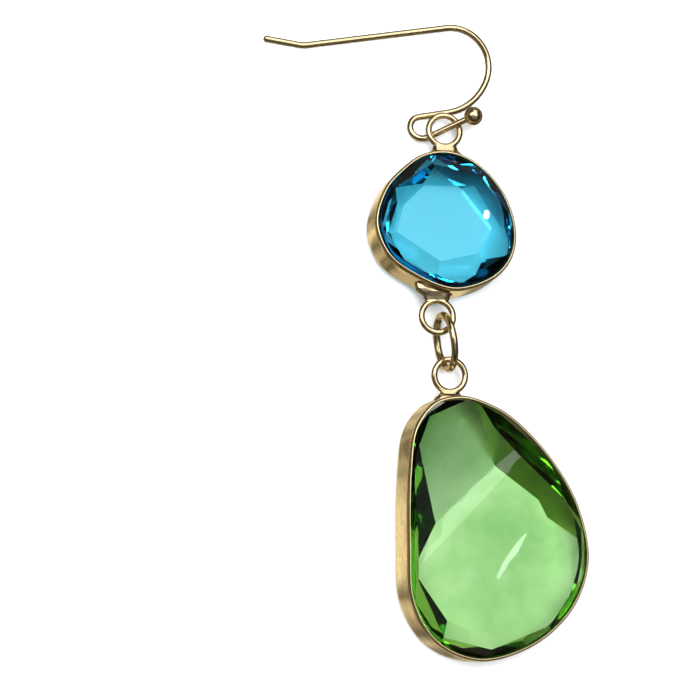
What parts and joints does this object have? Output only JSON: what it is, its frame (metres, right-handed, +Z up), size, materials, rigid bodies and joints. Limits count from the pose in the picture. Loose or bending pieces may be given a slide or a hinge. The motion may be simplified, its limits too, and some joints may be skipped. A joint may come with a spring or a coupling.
{
  "type": "drop earring",
  "caption": "Drop earring lying flat: a bent ear wire with a ball end, a blue cut stone in a gold band, a jump ring, and a large green freeform cut stone in a gold band.",
  "frame": {"origin": "middle of the earring's box on the surface it lies on", "axes": "+Y along the earring towards the ear wire, +X to the right seen from the front, +Z up out of the surface"},
  "size_m": [0.0362, 0.0718, 0.0073],
  "materials": {
    "gold": "polished pale gold plating",
    "blue_glass": "clear blue, polished facets",
    "green_glass": "clear green, polished facets"
  },
  "bodies": {
    "root": {"ear_wire": "gold", "blue_setting": "gold", "blue_stone": "blue_glass", "jump_ring": "gold", "green_setting": "gold", "green_stone": "green_glass"}
  },
  "joints": []
}
